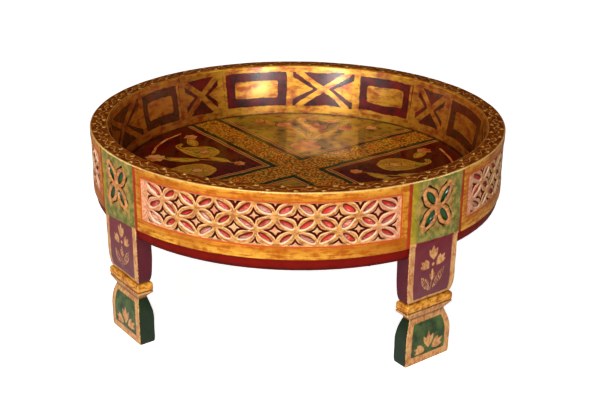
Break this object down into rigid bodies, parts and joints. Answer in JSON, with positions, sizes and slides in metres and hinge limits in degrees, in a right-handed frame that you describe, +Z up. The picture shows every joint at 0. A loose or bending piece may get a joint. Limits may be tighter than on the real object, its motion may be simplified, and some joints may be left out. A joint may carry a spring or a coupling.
{
  "type": "bajot low table",
  "caption": "Low round table with a deep tray top: carved and painted wooden rim on square-cut legs, with a plank bottom.",
  "frame": {"origin": "on the floor under the middle of the tray", "axes": "+Z up, -Y towards the front; the legs stand on the diagonals between X and Y"},
  "size_m": [0.56, 0.56, 0.25],
  "materials": {
    "painted_rim": "carved wood, painted gold, red and pink, varnished",
    "painted_leg": "carved wood, painted green, maroon and gold, varnished",
    "painted_tray": "flat boards, painted and varnished to a gloss",
    "batten_wood": "sawn wood, stained and unvarnished",
    "forged_iron": "hand-forged nails, dark and dull"
  },
  "bodies": {
    "root": {"rim_segment_right": "painted_rim", "rim_segment_back": "painted_rim", "rim_segment_left": "painted_rim", "rim_segment_front": "painted_rim", "leg_back_right": "painted_leg", "leg_back_left": "painted_leg", "leg_front_left": "painted_leg", "leg_front_right": "painted_leg", "tray_plank_1": "painted_tray", "tray_plank_2": "painted_tray", "tray_plank_3": "painted_tray", "tray_plank_4": "painted_tray", "batten_left": "batten_wood", "batten_right": "batten_wood", "rim_nail_right_1": "forged_iron", "rim_nail_right_2": "forged_iron", "rim_nail_right_3": "forged_iron", "rim_nail_right_4": "forged_iron", "rim_nail_back_1": "forged_iron", "rim_nail_back_2": "forged_iron", "rim_nail_back_3": "forged_iron", "rim_nail_back_4": "forged_iron", "rim_nail_left_1": "forged_iron", "rim_nail_left_2": "forged_iron", "rim_nail_left_3": "forged_iron", "rim_nail_left_4": "forged_iron", "rim_nail_front_1": "forged_iron", "rim_nail_front_2": "forged_iron", "rim_nail_front_3": "forged_iron", "rim_nail_front_4": "forged_iron", "leg_nail_back_right_1": "forged_iron", "leg_nail_back_right_2": "forged_iron", "leg_nail_back_left_1": "forged_iron", "leg_nail_back_left_2": "forged_iron", "leg_nail_front_left_1": "forged_iron", "leg_nail_front_left_2": "forged_iron", "leg_nail_front_right_1": "forged_iron", "leg_nail_front_right_2": "forged_iron", "batten_nail_left_1": "forged_iron", "batten_nail_left_2": "forged_iron", "batten_nail_left_3": "forged_iron", "batten_nail_left_4": "forged_iron", "batten_nail_right_1": "forged_iron", "batten_nail_right_2": "forged_iron", "batten_nail_right_3": "forged_iron", "batten_nail_right_4": "forged_iron"}
  },
  "joints": []
}
